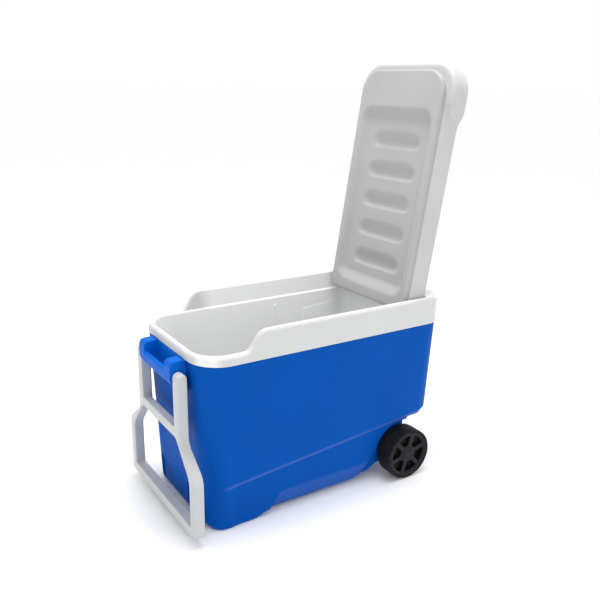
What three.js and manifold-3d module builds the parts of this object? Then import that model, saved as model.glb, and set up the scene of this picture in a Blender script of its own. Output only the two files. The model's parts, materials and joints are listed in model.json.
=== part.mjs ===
// A hard-sided cooler on wheels, rebuilt as separate pieces, in millimetres with +Z up.
// The tow handle hangs at the front (-X), the wheels are at the rear (+X), and Y runs across.
// The origin lies on the floor under the middle of the whole object. The lid stands open.
import * as THREE from "three";
import { mergeVertices } from "three/addons/utils/BufferGeometryUtils.js";
import Module from "manifold-3d";

const wasm = await Module();
wasm.setup();

// ---------------------------------------------------------------- driving dimensions
const GAP = 0.3; // clearance between pieces that touch
const SLACK = 0.5; // clearance round the foam
const PLASTIC = 2.4; // wall of every moulded shell
const FAR = 700; // beyond the object in any direction
const CORNER_STEPS = 5; // facets in a quarter round
const ROLL_ANGLES = [0, 45, 90]; // where the rings of a small quarter round lie, in degrees

// the blue body
const SEAM_Z = 346.7; // the white collar sits on the blue body here
const BODY_END_TOP = 287.4; // half length at the seam
const BODY_END_FOOT = 273.4; // the same at floor level, after the draft
const BODY_SIDE_TOP = 148;
const BODY_SIDE_FOOT = 139;
const FRONT_CORNER = 54; // plan radius of the front corners
const REAR_CORNER = 45;
const BELLY_Z = 8.5; // underside behind the front foot
const FRONT_ROLL = 25; // radius under the front face
const REAR_WALL_X = 213; // rear wall below the overhang
const OVERHANG_Z = 129.3;
const SHOULDER_STEP = 7; // the wall steps in this far below the slanted shoulder
const SHOULDER_DROP = 10; // within this height

// the white collar and tub
const COLLAR_END = 290.4;
const COLLAR_SIDE = 151;
const LEDGE_Z = 365; // the low front rim, and the ledge that the lid rests on
const TOP_Z = 405;
const SCOOP_START = -206; // the raised walls begin to rise here
const SCOOP_END = -152; // and reach their full height here
const SCOOP_PULL = [28, -34]; // how far the curve between them runs on level at each end
const LID_BAY_REAR = 243.5;
const LID_BAY_SIDE = 137;
const TUB_FRONT = 279;
const TUB_REAR = 235;
const TUB_SIDE = 133;
const TUB_FLOOR = 28;
const SHELF_Z = 148; // floor of the tub above the wheels
const SHELF_X = 100;
const TUB_CORNER = 52;
const TUB_REAR_CORNER = 28;

// the lid
const HINGE_X = 211.8;
const HINGE_Z = 382.6;
const OPEN_ANGLE = THREE.MathUtils.degToRad(99.2);
const LID_TOP = 410;
const LID_SIDE = 134;
const LID_CAP_SIDE = 149.6;
const LID_FRONT = 292.4;
const CAP_TAPER_START = -222; // the cap narrows from here, at the level of the ledge
const CAP_TAPER = 46; // to the width of the slab within this length
const CAP_TAPER_LEAN = 0.5; // and each level begins this much further back
const LID_UNDER = LEDGE_Z + 0.5;
const PLUG_UNDER = 353.6;
const PLUG_SIDE = 129.5;
const CAP_CHAMFER = 8; // round the cap's lower edge
const FIELD_DEPTH = 14; // of the sunk field in the lid's underside
const POCKET_DEPTH = 8; // of each cross pocket below the field
const POCKET_PITCH = 66;
const FIRST_POCKET = 78.5; // from the hinge line
const HEEL_RADIUS = HINGE_Z - LID_UNDER; // the lid's rear end turns about the hinge

// wheels and axle
const AXLE_X = 194.6;
const WHEEL_RADIUS = 56.8;
const WHEEL_OUT = 169.4;
const WHEEL_IN = 126.8;
const WELL_SIDE = 122.5;
const AXLE_RADIUS = 4.8;

// handle and its bracket
const PIVOT_X = -306;
const PIVOT_Z = 315.5;
const PIVOT_PIN = 4;
const LUG_IN = 50;
const LUG_OUT = 76.8;
const BRACKET_FRONT = -320.2;
const HANDLE_FRONT = -317.5;
const HANDLE_DEPTH = 23;
const HANDLE_BAR = 21; // width of the bars, seen from the front
const HANDLE_FOOT = 16;
const GRIP_SIDE = 161; // half width at the grip
const GRIP_TOP = 142;
const ARM_SIDE = 99.5; // half width at the arms
const ARM_FOOT = 188;
const CROSSBAR_Z = [197.5, 218];

// ---------------------------------------------------------------- geometry helpers
// A closed geometry as a solid that can be joined and cut.
function solid(geometry) {
  const bare = geometry.index ? geometry.toNonIndexed() : geometry;
  const position = new THREE.BufferGeometry();
  position.setAttribute("position", bare.getAttribute("position"));
  const merged = mergeVertices(position, 1e-4);
  const mesh = new wasm.Mesh({
    numProp: 3,
    vertProperties: merged.attributes.position.array,
    triVerts: new Uint32Array(merged.index.array),
  });
  return new wasm.Manifold(mesh);
}

// The skin over a row of rings, each a closed loop of the same number of points, with flat ends.
function skin(rings) {
  const count = rings[0].length;
  const points = rings.flat();
  const faces = [];
  for (let r = 0; r + 1 < rings.length; r++) {
    for (let i = 0; i < count; i++) {
      const a = r * count + i;
      const b = r * count + ((i + 1) % count);
      faces.push(a, b, b + count, a, b + count, a + count);
    }
  }
  [0, rings.length - 1].forEach((r, end) => {
    const centre = new THREE.Vector3();
    rings[r].forEach((p) => centre.addScaledVector(p, 1 / count));
    points.push(centre);
    for (let i = 0; i < count; i++) {
      const a = r * count + i;
      const b = r * count + ((i + 1) % count);
      faces.push(points.length - 1, ...(end ? [a, b] : [b, a]));
    }
  });
  let volume = 0;
  for (let i = 0; i < faces.length; i += 3) {
    const [a, b, c] = faces.slice(i, i + 3).map((k) => points[k]);
    volume += a.dot(b.clone().cross(c));
  }
  if (volume < 0) faces.reverse();
  const geometry = new THREE.BufferGeometry().setFromPoints(points);
  geometry.setIndex(faces);
  return solid(geometry);
}

// A rounded rectangle in plan at height z, with its own radius at the front and rear corners.
function planRing(z, front, rear, side, frontRadius, rearRadius, steps = CORNER_STEPS) {
  const ring = [];
  const corners = [
    [rear - rearRadius, side - rearRadius, rearRadius, 0],
    [front + frontRadius, side - frontRadius, frontRadius, 90],
    [front + frontRadius, frontRadius - side, frontRadius, 180],
    [rear - rearRadius, rearRadius - side, rearRadius, 270],
  ];
  corners.forEach(([x, y, radius, start]) => {
    for (let i = 0; i <= steps; i++) {
      const angle = THREE.MathUtils.degToRad(start + (90 * i) / steps);
      ring.push(new THREE.Vector3(x + radius * Math.cos(angle), y + radius * Math.sin(angle), z));
    }
  });
  return ring;
}

// An outline drawn in X and Z, extruded from y0 to y1.
function alongY(shape, y0, y1) {
  const geometry = new THREE.ExtrudeGeometry(shape, { depth: y1 - y0, bevelEnabled: false, curveSegments: 6 });
  const turn = new THREE.Matrix4().makeBasis(
    new THREE.Vector3(1, 0, 0),
    new THREE.Vector3(0, 0, 1),
    new THREE.Vector3(0, -1, 0),
  );
  return solid(geometry.applyMatrix4(turn).translate(0, y1, 0));
}

// An outline drawn in Y and Z, extruded from x0 to x1, with an optional bevel on both faces.
function alongX(shape, x0, x1, bevel = 0) {
  const geometry = new THREE.ExtrudeGeometry(shape, {
    depth: x1 - x0 - 2 * bevel,
    bevelEnabled: bevel > 0,
    bevelSize: bevel,
    bevelThickness: bevel,
    bevelOffset: -bevel,
    bevelSegments: 1,
    curveSegments: 4,
  });
  const turn = new THREE.Matrix4().makeBasis(
    new THREE.Vector3(0, 1, 0),
    new THREE.Vector3(0, 0, 1),
    new THREE.Vector3(1, 0, 0),
  );
  return solid(geometry.applyMatrix4(turn).translate(x0 + bevel, 0, 0));
}

function polygon(points) {
  return new THREE.Shape(points.map(([a, b]) => new THREE.Vector2(a, b)));
}

// A polygon whose corners [a, b, radius] are rounded by quadratic curves.
function roundedPath(corners, path = new THREE.Shape()) {
  corners.forEach(([a, b, radius], i) => {
    const corner = new THREE.Vector2(a, b);
    const before = new THREE.Vector2(...corners.at(i - 1).slice(0, 2));
    const after = new THREE.Vector2(...corners[(i + 1) % corners.length].slice(0, 2));
    const reach = Math.min(radius, 0.48 * before.distanceTo(corner), 0.48 * after.distanceTo(corner));
    const entry = corner.clone().add(before.sub(corner).setLength(reach));
    const exit = corner.clone().add(after.sub(corner).setLength(reach));
    if (i === 0) path.moveTo(entry.x, entry.y);
    else path.lineTo(entry.x, entry.y);
    path.quadraticCurveTo(a, b, exit.x, exit.y);
  });
  path.closePath();
  return path;
}

function box(x0, x1, y0, y1, z0, z1) {
  const geometry = new THREE.BoxGeometry(x1 - x0, y1 - y0, z1 - z0);
  return solid(geometry.translate((x0 + x1) / 2, (y0 + y1) / 2, (z0 + z1) / 2));
}

// A round bar across the object, from y0 to y1.
function barY(x, z, radius, y0, y1, sides = 20) {
  const geometry = new THREE.CylinderGeometry(radius, radius, y1 - y0, sides);
  return solid(geometry.translate(x, (y0 + y1) / 2, z));
}

// A solid turned about the Y line through x, z, from a profile of [radius, y] points.
function turnedY(x, z, profile, sides) {
  const outline = profile.map(([radius, y]) => new THREE.Vector2(radius, y));
  return solid(new THREE.LatheGeometry(outline, sides).translate(x, 0, z));
}

function flipY(part) {
  return part.mirror([0, 1, 0]);
}

function join(parts) {
  return parts.reduce((whole, part) => whole.add(part));
}

// ---------------------------------------------------------------- body outlines
const bodySide = (z) => THREE.MathUtils.lerp(BODY_SIDE_FOOT, BODY_SIDE_TOP, z / SEAM_Z);
const bodyEnd = (z) => THREE.MathUtils.lerp(BODY_END_FOOT, BODY_END_TOP, z / SEAM_Z);

// What the underside, the front foot and the rear overhang leave of the side view.
function undersideProfile(inset) {
  const roll = FRONT_ROLL - inset;
  const faceX = -bodyEnd(FRONT_ROLL) + inset;
  const overhang = OVERHANG_Z + inset;
  const tailRadius = 14;
  const tailX = bodyEnd(OVERHANG_Z) - inset;
  const footEnd = [-170, inset];
  const rampEnd = [-147, BELLY_Z + inset];
  const stepStart = [77, BELLY_Z + inset];
  const stepEnd = [90, 15 + inset];
  const riseEnd = [140, 31 + inset];
  const shape = new THREE.Shape();
  shape.moveTo(-FAR, FAR);
  shape.lineTo(-FAR, FRONT_ROLL);
  shape.lineTo(faceX, FRONT_ROLL);
  shape.absarc(faceX + roll, FRONT_ROLL, roll, Math.PI, 1.5 * Math.PI, false);
  shape.lineTo(...footEnd);
  shape.lineTo(...rampEnd);
  shape.lineTo(...stepStart);
  shape.lineTo(...stepEnd);
  shape.quadraticCurveTo(118, stepEnd[1] + 2, ...riseEnd);
  shape.lineTo(REAR_WALL_X - inset, riseEnd[1]);
  shape.lineTo(REAR_WALL_X - inset, overhang);
  shape.lineTo(tailX - tailRadius, overhang);
  shape.quadraticCurveTo(tailX, overhang, tailX + 1, overhang + tailRadius);
  shape.lineTo(FAR, overhang + tailRadius);
  shape.lineTo(FAR, FAR);
  return shape;
}

// How far the slanted shoulder lies above the floor at x.
const shoulderZ = (x) => 100 + 0.096 * (x + 207);

// A ring of the body's plan outline, drawn in by inset. A step deepens it behind the front corners,
// and rise(x) gives the height of each of its points.
function bodyRing(rise, inset, step) {
  const ring = [];
  const quarters = [
    [1, 1, REAR_CORNER, 0],
    [-1, 1, FRONT_CORNER, 90],
    [-1, -1, FRONT_CORNER, 180],
    [1, -1, REAR_CORNER, 270],
  ];
  quarters.forEach(([sideX, sideY, radius, start]) => {
    for (let i = 0; i <= CORNER_STEPS; i++) {
      const angle = THREE.MathUtils.degToRad(start + (90 * i) / CORNER_STEPS);
      const z = rise(sideX * (BODY_END_TOP - radius + radius * Math.abs(Math.cos(angle))));
      const middleX = sideX * (bodyEnd(z) - radius);
      const middleY = sideY * (bodySide(z) - radius);
      const x = middleX + radius * Math.cos(angle);
      const deepening = step * THREE.MathUtils.clamp((x + 250) / 37, 0, 1);
      const reach = radius - inset - deepening;
      ring.push(new THREE.Vector3(middleX + reach * Math.cos(angle), middleY + reach * Math.sin(angle), z));
    }
  });
  return ring;
}

// The low side panel that leans in towards the floor.
function rampCutter(inset) {
  const wall = bodySide(30) - SHOULDER_STEP - inset;
  const lean = 15;
  const inner = [
    [-108, 47, 1.5],
    [119, 60, 1.5],
    [83, -4, -lean],
    [-151, -4, -lean],
  ];
  const near = inner.map(([x, z, y]) => new THREE.Vector3(x, wall + y, z));
  const away = inner.map(([x, z]) => new THREE.Vector3(x, 190, z));
  return skin([near, away]);
}

// The recess around a wheel.
function wellCutter(inset) {
  const radius = WHEEL_RADIUS + 10 + inset;
  const shape = new THREE.Shape();
  shape.moveTo(84 - inset, -20);
  shape.lineTo(94 - inset, 17);
  shape.lineTo(117 - inset, 56);
  shape.absarc(AXLE_X, WHEEL_RADIUS, radius, THREE.MathUtils.degToRad(168), Math.PI / 2, true);
  shape.lineTo(320, WHEEL_RADIUS + radius);
  shape.lineTo(320, -20);
  return alongY(shape, WELL_SIDE - inset, 190);
}

// One of the two toe recesses low in the front face.
function toeCutter(inset) {
  const depth = 5 + inset;
  const floor = polygon([
    [-bodyEnd(0) + depth, -5],
    [-bodyEnd(70) + depth, 70 + inset],
    [-330, 70 + inset],
    [-330, -5],
  ]);
  return alongY(floor, 38 - inset, 95 + inset);
}

// The whole outer form of the body, drawn in by inset.
function bodyForm(inset, top) {
  const rings = [
    bodyRing(() => -6, inset, SHOULDER_STEP),
    bodyRing((x) => shoulderZ(x) - SHOULDER_DROP + inset, inset, SHOULDER_STEP),
    bodyRing((x) => shoulderZ(x) + inset, inset, 0),
    bodyRing(() => top, inset, 0),
  ];
  const oneSide = join([rampCutter(inset), wellCutter(inset), toeCutter(inset)]);
  const profile = alongY(undersideProfile(inset), -200, 200);
  return skin(rings).intersect(profile).subtract(oneSide).subtract(flipY(oneSide));
}

// ---------------------------------------------------------------- tub and collar outlines
const tubFront = (z) => -TUB_FRONT + (20 * (LEDGE_Z - z)) / (LEDGE_Z - TUB_FLOOR);
const tubSide = (z) => TUB_SIDE - (9 * (LEDGE_Z - z)) / (LEDGE_Z - TUB_FLOOR);
const tubRear = (z) => TUB_REAR - (4 * (LEDGE_Z - z)) / (LEDGE_Z - SHELF_Z);
const deepRear = (z) => SHELF_X - (10 * (SHELF_Z - z)) / (SHELF_Z - TUB_FLOOR);

// The space inside the tub, grown by grow: a deep part, and a shelf above the wheels.
function tubForm(grow, top) {
  const roll = 14;
  const floorRings = (floor, rearAt, rearRadius) =>
    ROLL_ANGLES.map((degrees) => {
      const angle = THREE.MathUtils.degToRad(degrees);
      const z = floor - grow + roll * (1 - Math.cos(angle));
      const shrink = roll * (1 - Math.sin(angle)) - grow;
      const corner = TUB_CORNER + grow - roll * (1 - Math.sin(angle));
      const rear = rearRadius + grow - roll * (1 - Math.sin(angle));
      return planRing(z, tubFront(z) + shrink, rearAt(z) - shrink, tubSide(z) - shrink, corner, rear);
    });
  const wall = (z, rearAt, rearRadius) =>
    planRing(z, tubFront(z) - grow, rearAt(z) + grow, tubSide(z) + grow, TUB_CORNER + grow, rearRadius + grow);
  const part = (floor, rearAt, upTo) =>
    skin([...floorRings(floor, rearAt, TUB_REAR_CORNER), wall(upTo, rearAt, TUB_REAR_CORNER)]);
  const deep = part(TUB_FLOOR, deepRear, SHELF_Z + 60);
  const shelf = part(SHELF_Z, tubRear, top);
  return deep.add(shelf);
}

// Draws the scoop from the low level to the high one, shifted along X.
function scoopCurve(shape, shift, low, high) {
  const [pullStart, pullEnd] = SCOOP_PULL;
  const start = SCOOP_START + shift;
  const end = SCOOP_END + shift;
  shape.bezierCurveTo(start + pullStart, low, end + pullEnd, high, end, high);
}

// The upper edge of the collar seen from the side: low in front, rising in the scoop.
function scoopProfile(inset) {
  const low = LEDGE_Z - inset;
  const high = TOP_Z - inset;
  const shape = new THREE.Shape();
  shape.moveTo(-FAR, 0);
  shape.lineTo(-FAR, low);
  shape.lineTo(SCOOP_START + inset, low);
  scoopCurve(shape, inset, low, high);
  shape.lineTo(FAR, high);
  shape.lineTo(FAR, 0);
  return shape;
}

// The outer form of the collar, drawn in by inset, with a rounded top edge.
function collarForm(inset, bottom) {
  const roll = 7.6;
  const at = (z, draw) =>
    planRing(z, -COLLAR_END + draw, COLLAR_END - draw, COLLAR_SIDE - draw, 63 - draw, 48 - draw);
  const rings = [at(bottom, inset)];
  ROLL_ANGLES.forEach((degrees) => {
    const angle = THREE.MathUtils.degToRad(degrees);
    const z = TOP_Z - inset - roll * (1 - Math.sin(angle));
    rings.push(at(z, inset + roll * (1 - Math.cos(angle))));
  });
  return skin(rings).intersect(alongY(scoopProfile(inset), -200, 200));
}

// The bay between the raised walls that the lid closes into, grown by grow.
function lidBay(grow) {
  const ring = (z, side) => planRing(z, -500, LID_BAY_REAR + grow, side + grow, 5, 5 + grow);
  return skin([ring(LEDGE_Z - grow, LID_BAY_SIDE), ring(TOP_Z + 8, LID_BAY_SIDE + 2.8)]);
}

// The hollow inside the collar, which foam fills: it opens downwards inside a narrow lip.
function collarHollow(clearance) {
  const wall = PLASTIC + clearance;
  const upper = collarForm(wall, SEAM_Z + wall);
  const mouth = collarForm(6 + clearance, SEAM_Z - 8);
  const hinges = barY(HINGE_X, HINGE_Z, 9 + clearance, -200, 200);
  return upper.add(mouth).subtract(lidBay(wall)).subtract(tubForm(wall, TOP_Z + 20)).subtract(hinges);
}

// ---------------------------------------------------------------- lid outlines, lid closed
// The side view of the lid: its rear end is round about the hinge, and its rear top corner is soft.
function lidProfile(inset, drop) {
  const heel = HEEL_RADIUS - inset;
  const heelEnd = THREE.MathUtils.degToRad(10);
  const top = LID_TOP - inset;
  const shape = new THREE.Shape();
  shape.moveTo(-FAR, LID_UNDER + inset - drop);
  shape.lineTo(HINGE_X, LID_UNDER + inset - drop);
  shape.absarc(HINGE_X, HINGE_Z, heel, 1.5 * Math.PI, 2 * Math.PI + heelEnd, false);
  shape.quadraticCurveTo(HINGE_X + 15 - inset, top, HINGE_X - 2, top);
  shape.lineTo(-FAR, top);
  return shape;
}

// The side view of the room for the lid's cap: clear of the collar's scoop by away.
function capProfile(away, low) {
  const shape = new THREE.Shape();
  shape.moveTo(-FAR, low);
  shape.lineTo(SCOOP_START - away, low);
  shape.lineTo(SCOOP_START - away, LID_UNDER + 0.1);
  scoopCurve(shape, -away, LID_UNDER + 0.1, TOP_Z);
  shape.lineTo(SCOOP_END - away, FAR);
  shape.lineTo(-FAR, FAR);
  return shape;
}

// The plan outline of the cap at height z, drawn in by draw: it narrows smoothly to the slab.
function capRing(z, draw) {
  const start = CAP_TAPER_START + CAP_TAPER_LEAN * (z - LEDGE_Z);
  const radius = 62;
  const steps = 6;
  const half = [];
  for (let i = 0; i <= CORNER_STEPS; i++) {
    const angle = THREE.MathUtils.degToRad(180 - (90 * i) / CORNER_STEPS);
    const reach = radius - draw;
    half.push([radius - LID_FRONT + reach * Math.cos(angle), LID_CAP_SIDE - radius + reach * Math.sin(angle)]);
  }
  for (let i = 0; i <= steps; i++) {
    const narrowing = THREE.MathUtils.smoothstep(i / steps, 0, 1) * (LID_CAP_SIDE - LID_SIDE + 1);
    half.push([start + (CAP_TAPER * i) / steps, LID_CAP_SIDE - narrowing - draw]);
  }
  half.push([-100, LID_SIDE - 1 - draw]);
  const other = half.toReversed().map(([x, y]) => [x, -y]);
  return [...half, ...other].map(([x, y]) => new THREE.Vector3(x, y, z));
}

// A form with the plan outline ringAt, a rounded upper edge and a chamfered lower one.
function edgedForm(ringAt, bottom, inset, chamfer) {
  const roll = 6;
  const lowDraw = chamfer > 0 ? chamfer + Math.SQRT2 * inset : inset;
  const chamferTop = LID_UNDER + chamfer + (Math.SQRT2 - 1) * inset;
  const rings = [ringAt(bottom, lowDraw)];
  if (chamfer > 0) rings.push(ringAt(LID_UNDER, lowDraw), ringAt(chamferTop, inset));
  ROLL_ANGLES.forEach((degrees) => {
    const angle = THREE.MathUtils.degToRad(degrees);
    const z = LID_TOP - inset - roll * (1 - Math.sin(angle));
    rings.push(ringAt(z, inset + roll * (1 - Math.cos(angle))));
  });
  return skin(rings);
}

// The shallow field sunk into the lid's top, with sloping edges.
function topField(inset) {
  const depth = 1.4;
  const slope = 4;
  const atEdge = (z, out) => {
    const grow = inset + out;
    return planRing(z - inset, -232 - grow, 186 + grow, 104 + grow, 40 + out, 24 + out);
  };
  return skin([atEdge(LID_TOP - depth, 0), atEdge(LID_TOP + 2, slope)]);
}

// The outer form of the lid, drawn in by inset: a long slab, and a wider cap at its front end.
function lidForm(inset, drop = 0) {
  const bottom = LID_UNDER - 15;
  const slabRear = HINGE_X + HEEL_RADIUS + 4 - inset;
  const slabFront = 2 * CAP_CHAMFER - LID_FRONT;
  const slabRing = (z, draw) => planRing(z, draw + slabFront, slabRear, LID_SIDE - draw, 40 - draw, 6);
  const slab = edgedForm(slabRing, bottom, inset, 0).intersect(alongY(lidProfile(inset, drop), -200, 200));
  const capRoom = alongY(capProfile(1.6 + inset, LID_UNDER - drop), -200, 200);
  const cap = edgedForm(capRing, bottom, inset, CAP_CHAMFER).intersect(capRoom);
  return slab.add(cap).subtract(topField(inset));
}

// The sunk field in the lid's underside with its five cross pockets, grown by grow.
function undersideField(grow) {
  const rectangle = (z, x0, x1, side, radius) => planRing(z, x0, x1, side, radius, radius, 3);
  const atSlope = (z, draw, radius) =>
    rectangle(z, HINGE_X - 410 + draw - grow, HINGE_X - 14 - draw + grow, 117 - draw + grow, radius);
  const floor = PLUG_UNDER + FIELD_DEPTH + grow;
  const field = skin([
    atSlope(PLUG_UNDER - 10, -4, 34),
    atSlope(PLUG_UNDER, 0, 32),
    atSlope(PLUG_UNDER + 0.6 * (FIELD_DEPTH + grow), 10, 28),
    atSlope(floor, 23, 20),
  ]);
  const pockets = [];
  for (let i = 0; i < 5; i++) {
    const middle = HINGE_X - FIRST_POCKET - POCKET_PITCH * i;
    const half = 20 + grow;
    pockets.push(
      skin([
        rectangle(floor - 4, middle - half, middle + half, 81 + grow, 17),
        rectangle(floor + 0.5 * POCKET_DEPTH, middle - half + 7, middle + half - 2, 77 + grow, 13),
        rectangle(floor + POCKET_DEPTH, middle - half + 16, middle + half - 6, 68 + grow, 8),
      ]),
    );
  }
  return join([field, ...pockets]);
}

// The plug under the lid, drawn in by inset, with the sunk field taken out of it.
function plugForm(inset, top) {
  const at = (z, draw) =>
    planRing(z, -TUB_FRONT + 4 + draw, HINGE_X + 8 - draw, PLUG_SIDE - draw, 50 - draw, 12 - inset / 2);
  const rings = [at(PLUG_UNDER + inset, inset + 4), at(PLUG_UNDER + inset + 4, inset), at(top, inset)];
  return skin(rings).subtract(undersideField(inset));
}

// ---------------------------------------------------------------- the assembly
const cooler = new THREE.Group();
const standing = new THREE.Group();
const lid = new THREE.Group();
cooler.add(standing, lid);

const plasticFinish = (color, roughness) =>
  new THREE.MeshStandardMaterial({ color, roughness, metalness: 0 });
const BLUE = 0x0058c0;
const WHITE = 0xe2e3e2;
const CHARCOAL = 0x2b2c2f;
const FOAM = 0xe8dcae;
const steelFinish = () => new THREE.MeshStandardMaterial({ color: 0xa9acb0, roughness: 0.35, metalness: 1 });

// Puts a solid into a group as a named mesh.
function place(name, part, material, group = standing) {
  const made = part.getMesh();
  const geometry = new THREE.BufferGeometry();
  geometry.setAttribute("position", new THREE.BufferAttribute(made.vertProperties, 3));
  geometry.setIndex(new THREE.BufferAttribute(made.triVerts, 1));
  geometry.computeVertexNormals();
  const mesh = new THREE.Mesh(geometry, material);
  mesh.name = name;
  group.add(mesh);
}

// ---------------------------------------------------------------- body shell
const SCREW_RADIUS = 2;
const SCREW_TIP = -302;
const SCREW_Y = 63;
const SCREW_LEVELS = [297, 335];
const screwPlaces = [-1, 1].flatMap((side) => SCREW_LEVELS.map((z) => [side * SCREW_Y, z]));
const screwHole = (y, z, radius, x0, x1) => {
  const bar = new THREE.CylinderGeometry(radius, radius, x1 - x0, 12).rotateZ(Math.PI / 2);
  return solid(bar.translate((x0 + x1) / 2, y, z));
};
const FILL_PLUG_X = -20;
const FILL_PLUG_RADIUS = 11;
const uprightBar = (x, radius, z0, z1) => {
  const bar = new THREE.CylinderGeometry(radius, radius, z1 - z0, 24).rotateX(Math.PI / 2);
  return solid(bar.translate(x, 0, (z0 + z1) / 2));
};

const bodyTop = SEAM_Z - GAP;
const axleTube = barY(AXLE_X, WHEEL_RADIUS, AXLE_RADIUS + 3.2, -WELL_SIDE, WELL_SIDE);
const axleBore = barY(AXLE_X, WHEEL_RADIUS, AXLE_RADIUS + GAP, -200, 200);
let bodyShell = bodyForm(0, bodyTop).subtract(bodyForm(PLASTIC, bodyTop + 20)).add(axleTube).subtract(axleBore);
bodyShell = bodyShell.subtract(uprightBar(FILL_PLUG_X, FILL_PLUG_RADIUS + GAP, -5, BELLY_Z + 6));
screwPlaces.forEach(([y, z]) => {
  bodyShell = bodyShell.subtract(screwHole(y, z, SCREW_RADIUS + GAP, -295, -270));
});
place("body_shell", bodyShell, plasticFinish(BLUE, 0.32));

// The plug that closes the hole through which the foam is poured.
const fillPlug = uprightBar(FILL_PLUG_X, FILL_PLUG_RADIUS, BELLY_Z + GAP, BELLY_Z + 7).add(
  uprightBar(FILL_PLUG_X, FILL_PLUG_RADIUS + 3, BELLY_Z - 1.8, BELLY_Z - GAP).add(
    uprightBar(FILL_PLUG_X, FILL_PLUG_RADIUS, BELLY_Z - 1, BELLY_Z + 1),
  ),
);
place("foam_fill_plug", fillPlug, plasticFinish(BLUE, 0.4));

// ---------------------------------------------------------------- inner liner with its collar
const hingeSockets = barY(HINGE_X, HINGE_Z, 4 + GAP, -145.6, 145.6);
const liner = collarForm(0, SEAM_Z)
  .add(tubForm(PLASTIC, LEDGE_Z))
  .subtract(lidBay(0))
  .subtract(tubForm(0, TOP_Z + 20))
  .subtract(collarHollow(0))
  .subtract(hingeSockets);
place("inner_liner", liner, plasticFinish(WHITE, 0.38));

// ---------------------------------------------------------------- foam between shell and liner
let foam = bodyForm(PLASTIC + SLACK, SEAM_Z - SLACK).add(collarHollow(SLACK));
foam = foam.subtract(tubForm(PLASTIC + SLACK, TOP_Z + 20));
foam = foam.subtract(barY(AXLE_X, WHEEL_RADIUS, AXLE_RADIUS + 3.2 + SLACK, -200, 200));
foam = foam.subtract(uprightBar(FILL_PLUG_X, FILL_PLUG_RADIUS + SLACK, 0, BELLY_Z + 8));
screwPlaces.forEach(([y, z]) => {
  foam = foam.subtract(screwHole(y, z, 5, -290, -276));
});
place("insulation_foam", foam, plasticFinish(FOAM, 0.9));

// ---------------------------------------------------------------- front bracket with its carry pocket
const BRACKET_TOP = SEAM_Z - 0.5;
const BRACKET_BACK = -280; // inside the front wall, which trims the bracket to its draft
const GRIP_GAP_FRONT = -310; // fingers go between the grip bar and the plate
const PLATE_FRONT = -291;
const lugProfile = roundedPath([
  [BRACKET_BACK, BRACKET_TOP, 1],
  [BRACKET_FRONT, BRACKET_TOP, 13],
  [BRACKET_FRONT, PIVOT_Z - 10.5, 9],
  [PIVOT_X + 2, PIVOT_Z - 26.5, 8],
  [BRACKET_BACK, PIVOT_Z - 35.5, 1],
]);
const gripBarProfile = roundedPath([
  [BRACKET_FRONT, 325, 3],
  [BRACKET_FRONT, 303, 6],
  [GRIP_GAP_FRONT, 298, 4],
  [GRIP_GAP_FRONT, 325, 3],
]);
const plate = box(PLATE_FRONT, BRACKET_BACK, -LUG_OUT, LUG_OUT, 288, BRACKET_TOP);
const gripBar = alongY(gripBarProfile, -LUG_IN - 2, LUG_IN + 2);
const lug = alongY(lugProfile, LUG_IN, LUG_OUT);
let bracket = join([lug, flipY(lug), plate, gripBar]).subtract(bodyForm(-GAP, SEAM_Z + 4));
const lugBore = barY(PIVOT_X, PIVOT_Z, PIVOT_PIN + GAP, 60, 90);
bracket = bracket.subtract(lugBore).subtract(flipY(lugBore));
screwPlaces.forEach(([y, z]) => {
  bracket = bracket.subtract(screwHole(y, z, SCREW_RADIUS + GAP, SCREW_TIP - 1, BRACKET_BACK));
});
place("front_bracket", bracket, plasticFinish(BLUE, 0.32));

// The screws are driven from inside the body before the foam goes in.
screwPlaces.forEach(([y, z], i) => {
  const wallInside = -bodyEnd(z) + PLASTIC + GAP;
  const head = screwHole(y, z, 4, wallInside, wallInside + 3);
  const shank = screwHole(y, z, SCREW_RADIUS, SCREW_TIP, wallInside + 1);
  place("bracket_screw_" + (i + 1), head.add(shank), steelFinish());
});

// ---------------------------------------------------------------- tow handle
// Corners [y, z, radius] of the left half, and the same mirrored for the right half.
function bothHalves(left) {
  const right = left.toReversed().map(([y, z, radius]) => [-y, z, radius]);
  return [...left, ...right];
}

const [crossbarFoot, crossbarTop] = CROSSBAR_Z;
const armTop = PIVOT_Z + 30;
const frameOutline = roundedPath(
  bothHalves([
    [ARM_SIDE - HANDLE_BAR, crossbarTop, 5],
    [ARM_SIDE - HANDLE_BAR, armTop, 6],
    [ARM_SIDE, armTop, 6],
    [ARM_SIDE, ARM_FOOT, 16],
    [GRIP_SIDE, GRIP_TOP, 18],
    [GRIP_SIDE, HANDLE_FOOT, 14],
  ]),
);
const frameWindow = roundedPath(
  bothHalves([
    [GRIP_SIDE - HANDLE_BAR, HANDLE_FOOT + HANDLE_BAR, 6],
    [GRIP_SIDE - HANDLE_BAR, GRIP_TOP - 7, 14],
    [84, crossbarFoot, 6],
  ]),
  new THREE.Path(),
);
frameOutline.holes.push(frameWindow);
const handleBack = HANDLE_FRONT + HANDLE_DEPTH;
const armEnd = new THREE.Shape();
armEnd.moveTo(HANDLE_FRONT - 5, 0);
armEnd.lineTo(HANDLE_FRONT - 5, PIVOT_Z);
armEnd.absarc(PIVOT_X, PIVOT_Z, HANDLE_DEPTH / 2, Math.PI, 0, true);
armEnd.lineTo(handleBack + 5, PIVOT_Z);
armEnd.lineTo(handleBack + 5, 0);

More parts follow.
